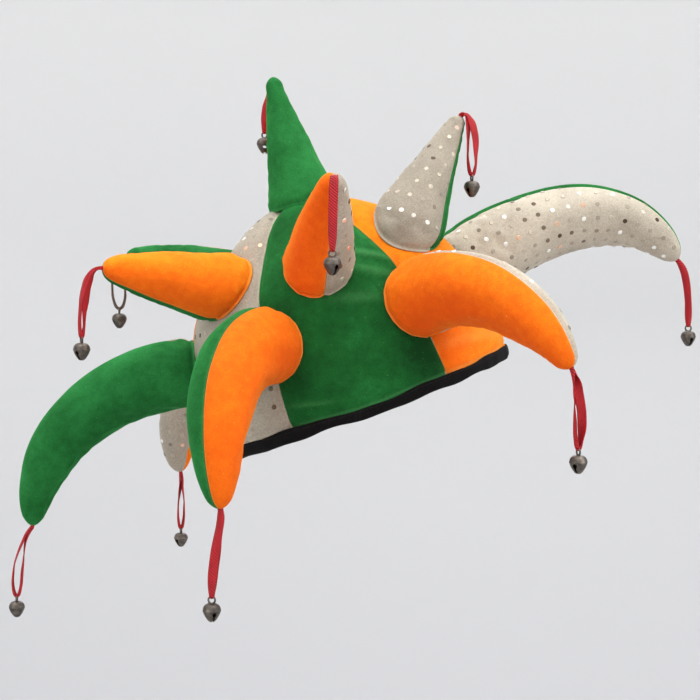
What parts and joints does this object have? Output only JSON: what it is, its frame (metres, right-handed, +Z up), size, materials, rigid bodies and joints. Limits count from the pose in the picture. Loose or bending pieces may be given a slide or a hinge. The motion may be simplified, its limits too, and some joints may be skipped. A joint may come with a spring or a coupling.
{
  "type": "clown hat",
  "caption": "Jester-style clown hat: padded velvet and sequin-cloth crown with a bound rim and stuffed horns, each ending in a ribbon loop with a small jingle bell.",
  "frame": {"origin": "centre of the head opening, in the plane of the rim, where a head holds the hat", "axes": "+Z up as worn, +X to the wearer's front, +Y to the wearer's left"},
  "size_m": [0.4668, 0.325, 0.3582],
  "materials": {
    "orange_velvet": "short-pile orange velvet",
    "green_velvet": "short-pile green velvet",
    "sequin_cloth": "pale silver-grey cloth with pressed foil sequin dots",
    "black_binding": "black stretch binding",
    "red_ribbon": "red woven ribbon",
    "bell_metal": "dark antique bronze plating"
  },
  "bodies": {
    "root": {"panel_front_left": "sequin_cloth", "panel_left": "green_velvet", "panel_rear_left": "orange_velvet", "panel_rear_right": "sequin_cloth", "panel_right": "green_velvet", "panel_front_right": "orange_velvet", "rim_band": "black_binding", "horn_top_green": "green_velvet", "horn_top_orange": "orange_velvet", "horn_upper_front_silver": "sequin_cloth", "horn_upper_front_green": "green_velvet", "horn_upper_right_orange": "orange_velvet", "horn_upper_right_silver": "sequin_cloth", "horn_upper_left_orange": "orange_velvet", "horn_upper_left_silver": "sequin_cloth", "horn_upper_rear_right_orange": "orange_velvet", "horn_upper_rear_right_green": "green_velvet", "horn_upper_rear_left_green": "green_velvet", "horn_upper_rear_left_silver": "sequin_cloth", "horn_lower_front_right_orange": "orange_velvet", "horn_lower_front_right_silver": "sequin_cloth", "horn_lower_front_left_silver": "sequin_cloth", "horn_lower_front_left_green": "green_velvet", "horn_lower_rear_right_orange": "orange_velvet", "horn_lower_rear_right_green": "green_velvet", "horn_lower_rear_left_silver": "sequin_cloth", "horn_lower_rear_left_orange": "orange_velvet", "horn_lower_rear_green": "green_velvet", "horn_lower_rear_silver": "sequin_cloth", "ribbon_top": "red_ribbon", "ribbon_upper_front": "red_ribbon", "ribbon_upper_right": "red_ribbon", "ribbon_upper_left": "red_ribbon", "ribbon_upper_rear_right": "red_ribbon", "ribbon_upper_rear_left": "red_ribbon", "ribbon_lower_front_right": "red_ribbon", "ribbon_lower_front_left": "red_ribbon", "ribbon_lower_rear_right": "red_ribbon", "ribbon_lower_rear_left": "red_ribbon", "ribbon_lower_rear": "red_ribbon", "bell_top": "bell_metal", "bell_upper_front": "bell_metal", "bell_upper_right": "bell_metal", "bell_upper_left": "bell_metal", "bell_upper_rear_right": "bell_metal", "bell_upper_rear_left": "bell_metal", "bell_lower_front_right": "bell_metal", "bell_lower_front_left": "bell_metal", "bell_lower_rear_right": "bell_metal", "bell_lower_rear_left": "bell_metal", "bell_lower_rear": "bell_metal"}
  },
  "joints": []
}
